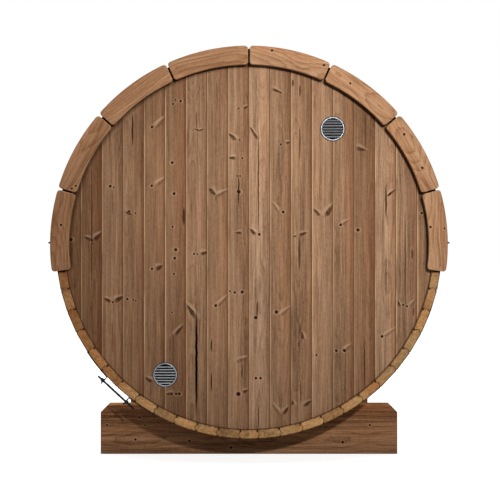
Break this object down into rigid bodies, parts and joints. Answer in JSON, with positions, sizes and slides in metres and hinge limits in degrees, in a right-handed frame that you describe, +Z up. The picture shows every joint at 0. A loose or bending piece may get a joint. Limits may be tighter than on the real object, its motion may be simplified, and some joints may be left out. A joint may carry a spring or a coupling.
{
  "type": "barrel sauna",
  "caption": "Barrel sauna of heat-treated wood: stave barrel on two cradles, board end walls with louvred vents, curved trim, dark roof covering, steel bands and a plank door.",
  "frame": {"origin": "on the ground, under the middle of the bounding box", "axes": "+Z up, the barrel lies along Y with the door end towards +Y and the vented rear end towards -Y, +X to the right as seen from the rear"},
  "size_m": [2.081, 2.056, 2.1668],
  "materials": {
    "wood_staves": "heat-treated, oiled",
    "wood_boards": "heat-treated, planed boards",
    "wood_trim": "heat-treated, planed with eased edges",
    "wood_cradles": "heat-treated timber",
    "vent_metal": "satin",
    "dark_steel": "black coated steel",
    "roof_covering": "mineral-faced bitumen"
  },
  "bodies": {
    "root": {"bottom_stave": "wood_staves", "top_stave": "wood_staves", "right_staves_lower": "wood_staves", "right_staves_upper": "wood_staves", "left_staves_lower": "wood_staves", "left_staves_upper": "wood_staves", "rear_wall": "wood_boards", "upper_vent": "vent_metal", "lower_vent": "vent_metal", "front_wall_left": "wood_boards", "front_wall_right": "wood_boards", "front_wall_head": "wood_boards", "front_wall_sill": "wood_boards", "door_jamb_left": "wood_trim", "door_jamb_right": "wood_trim", "door_head": "wood_trim", "door_sill": "wood_trim", "door_leaf": "wood_boards", "door_hinges": "dark_steel", "door_handle": "wood_trim", "rear_cradle": "wood_cradles", "front_cradle": "wood_cradles", "rear_band": "dark_steel", "front_band": "dark_steel", "rear_tension_rod": "dark_steel", "front_tension_rod": "dark_steel", "roof_left": "roof_covering", "roof_right": "roof_covering", "roof_ridge": "roof_covering", "drip_edge_left": "dark_steel", "drip_edge_right": "dark_steel", "rear_trim_left": "wood_trim", "rear_trim_right": "wood_trim", "front_trim_left": "wood_trim", "front_trim_right": "wood_trim"}
  },
  "joints": []
}
